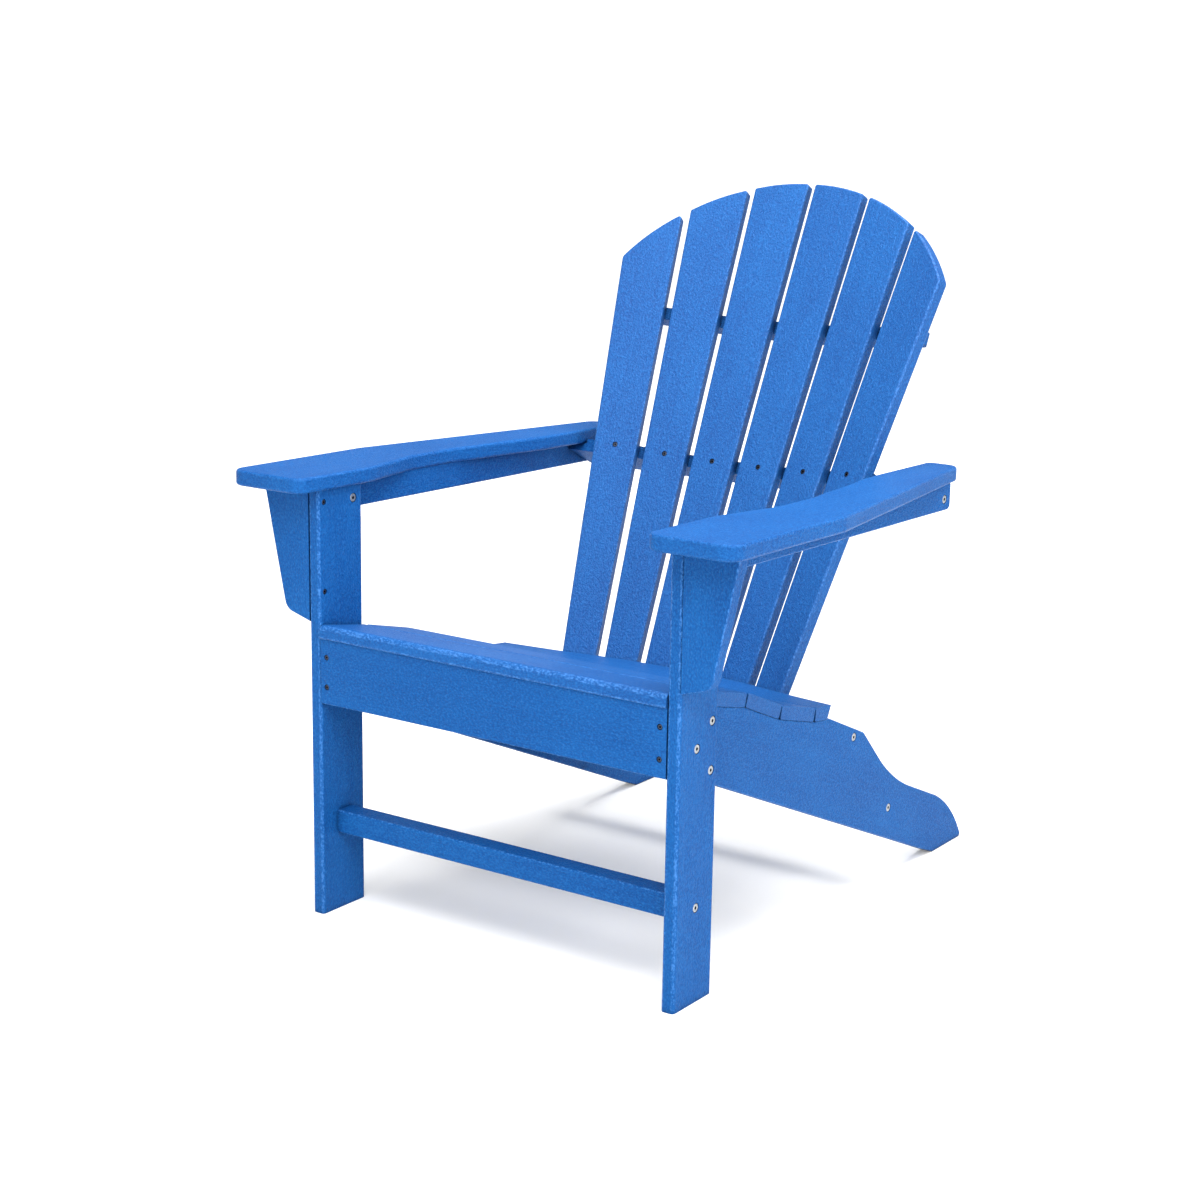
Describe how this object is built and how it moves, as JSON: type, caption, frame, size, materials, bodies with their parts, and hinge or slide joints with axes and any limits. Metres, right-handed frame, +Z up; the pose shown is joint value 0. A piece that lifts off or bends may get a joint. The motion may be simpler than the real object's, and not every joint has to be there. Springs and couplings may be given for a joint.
{
  "type": "adirondack chair",
  "caption": "Low reclining garden armchair of plastic boards: fanned slat back with a rounded top, curved slat seat, wide paddle arms, sloping side rails that form the rear legs.",
  "frame": {"origin": "on the floor, under the middle of the bounding box", "axes": "+Z up, the sitter faces -Y, the sitter's left hand is +X"},
  "size_m": [0.784, 0.879, 0.969],
  "materials": {
    "back_slat_boards": "pebble-grained plastic lumber, satin",
    "seat_boards": "pebble-grained plastic lumber, satin",
    "cross_boards": "pebble-grained plastic lumber, satin",
    "arm_boards": "pebble-grained plastic lumber, satin",
    "frame_boards": "pebble-grained plastic lumber, satin",
    "bolts": "stainless steel, satin",
    "screws": "stainless steel, satin"
  },
  "bodies": {
    "root": {"back_slat_1": "back_slat_boards", "back_slat_2": "back_slat_boards", "back_slat_3": "back_slat_boards", "back_slat_4": "back_slat_boards", "back_slat_5": "back_slat_boards", "back_slat_6": "back_slat_boards", "seat_slat_1": "seat_boards", "seat_slat_2": "seat_boards", "seat_slat_3": "seat_boards", "seat_slat_4": "seat_boards", "seat_slat_5": "seat_boards", "upper_back_rail": "cross_boards", "mid_back_rail": "cross_boards", "lower_back_rail": "cross_boards", "apron": "cross_boards", "front_stretcher": "cross_boards", "rear_stretcher": "cross_boards", "left_front_leg": "frame_boards", "right_front_leg": "frame_boards", "left_side_rail": "frame_boards", "right_side_rail": "frame_boards", "left_arm": "arm_boards", "right_arm": "arm_boards", "left_arm_rail": "frame_boards", "right_arm_rail": "frame_boards", "left_arm_bracket": "frame_boards", "right_arm_bracket": "frame_boards", "leg_bolts": "bolts", "front_stretcher_bolts": "bolts", "rear_stretcher_bolts": "bolts", "lower_rail_bolts": "bolts", "arm_rail_rear_bolts": "bolts", "arm_rail_front_bolts": "bolts", "bracket_screws": "screws", "apron_screws": "screws", "arm_screws": "screws", "seat_screws": "screws", "mid_rail_screws": "screws", "lower_rail_screws": "screws", "upper_rail_screws": "screws"}
  },
  "joints": []
}
